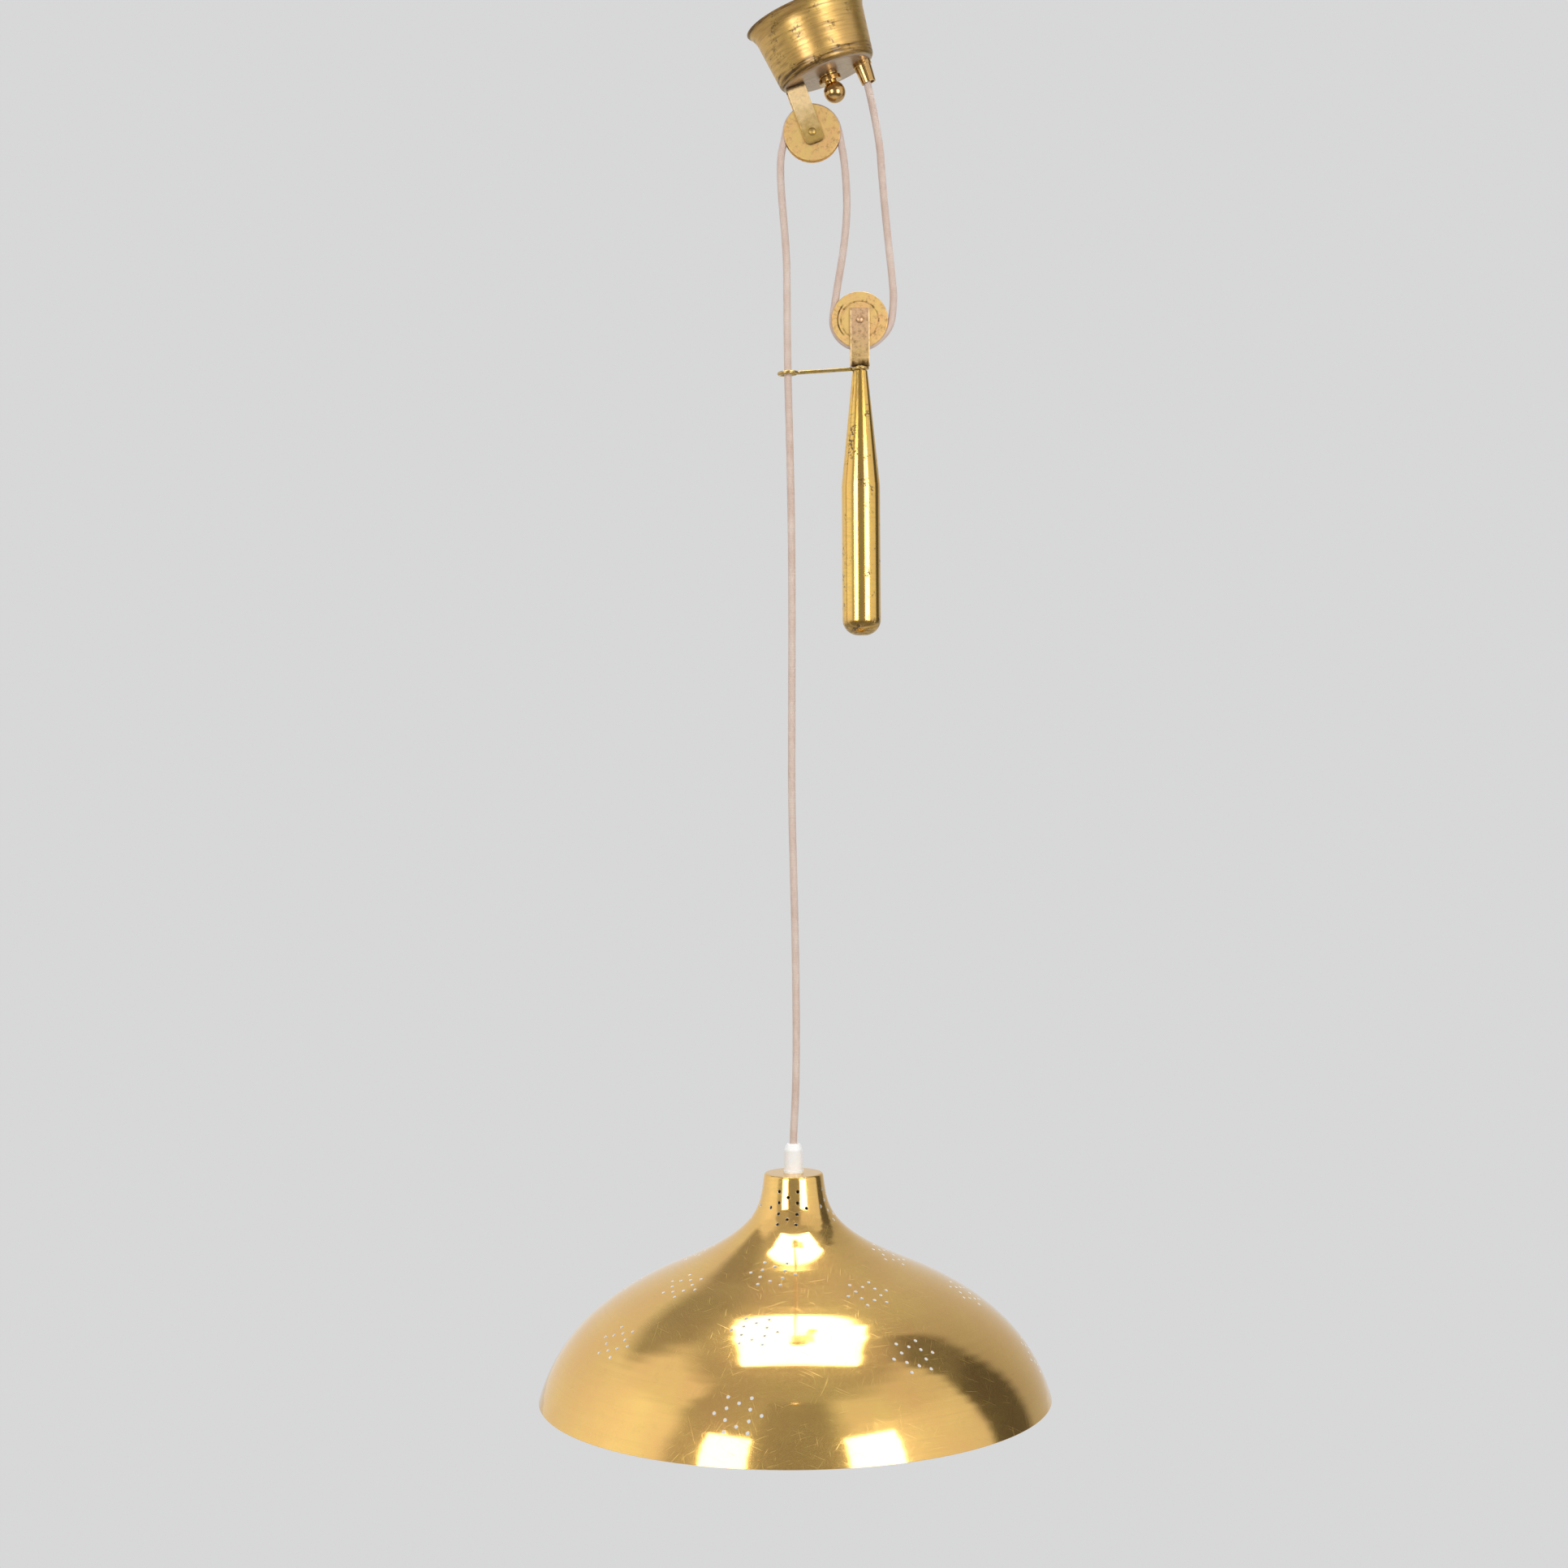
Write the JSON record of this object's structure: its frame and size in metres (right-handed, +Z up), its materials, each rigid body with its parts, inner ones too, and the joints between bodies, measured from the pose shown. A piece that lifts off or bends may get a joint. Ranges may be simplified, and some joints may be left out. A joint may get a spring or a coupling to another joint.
{
  "type": "pendant light",
  "caption": "Brass rise-and-fall pendant: a dome shade on a textile flex that runs over pulleys to a bottle-shaped counterweight, hung from a flared canopy cup.",
  "frame": {"origin": "centre of the eye hole of the hanger bolt inside the canopy cup, where the ceiling hook goes", "axes": "+Z up, +X from the lamp towards the counterweight, +Y along the eye hole and the pulley axles"},
  "size_m": [0.38, 0.3798, 1.0382],
  "materials": {
    "polished_brass": "polished, aged",
    "satin_brass": "satin, tarnished",
    "plated_steel": "zinc plated",
    "white_plastic": "moulded",
    "dark_bakelite": "moulded",
    "cast_core": "as cast",
    "bulb_metal": "rolled thread",
    "opal_glass": "opal",
    "textile_flex": "braided cover"
  },
  "bodies": {
    "canopy": {"canopy_cup": "satin_brass", "hanger_eye": "plated_steel", "hanger_nut": "plated_steel", "finial_collar": "polished_brass", "finial_ball": "polished_brass", "gland_body": "polished_brass", "gland_locknut": "plated_steel", "terminal_block": "white_plastic", "terminal_screws": "satin_brass", "canopy_yoke": "satin_brass", "canopy_axle": "satin_brass", "yoke_screw": "plated_steel", "yoke_nut": "plated_steel", "cord_canopy_loop": "textile_flex", "cord_gland_tail": "textile_flex", "cord_lamp_strand": "textile_flex", "cord_left_fall": "textile_flex", "cord_right_fall": "textile_flex"},
    "top_wheel": {"canopy_pulley": "satin_brass"},
    "counterweight": {"weight_shell": "polished_brass", "weight_core": "cast_core", "weight_stud": "satin_brass", "weight_nut": "satin_brass", "weight_yoke": "satin_brass", "weight_axle": "satin_brass", "guide_wire": "satin_brass", "cord_weight_loop": "textile_flex"},
    "weight_wheel": {"weight_pulley": "satin_brass"},
    "lamp": {"shade": "polished_brass", "cord_grip": "white_plastic", "grip_nipple": "plated_steel", "nipple_washer": "plated_steel", "nipple_nut": "plated_steel", "holder_cap": "dark_bakelite", "holder_body": "dark_bakelite", "holder_insert": "white_plastic", "screw_shell": "satin_brass", "centre_contact": "satin_brass", "bulb_contact": "satin_brass", "bulb_cap": "bulb_metal", "bulb_glass": "opal_glass", "cord_lamp_tail": "textile_flex"}
  },
  "joints": [
    {"name": "lamp_slide", "type": "slide", "parent": "canopy", "child": "lamp", "axis": [0, 0, 1], "range_m": [-0.15, 0.27], "deforming": ["cord_lamp_strand"]},
    {"name": "weight_slide", "type": "slide", "parent": "canopy", "child": "counterweight", "axis": [0, 0, 1], "range_m": [-0.135, 0.075], "deforming": ["cord_left_fall", "cord_right_fall"]},
    {"name": "canopy_pulley_spin", "type": "hinge", "parent": "canopy", "child": "top_wheel", "pos_m": [0.00011, 0, -0.0769], "axis": [0, 1, 0], "continuous": true},
    {"name": "weight_pulley_spin", "type": "hinge", "parent": "counterweight", "child": "weight_wheel", "pos_m": [0.03426, 0, -0.2148], "axis": [0, 1, 0], "continuous": true}
  ],
  "couplings": [
    {"joint": "weight_slide", "follows": "lamp_slide", "ratio": -0.5},
    {"joint": "canopy_pulley_spin", "follows": "lamp_slide", "rad_per_m": 51.948},
    {"joint": "weight_pulley_spin", "follows": "lamp_slide", "rad_per_m": -25.974}
  ]
}
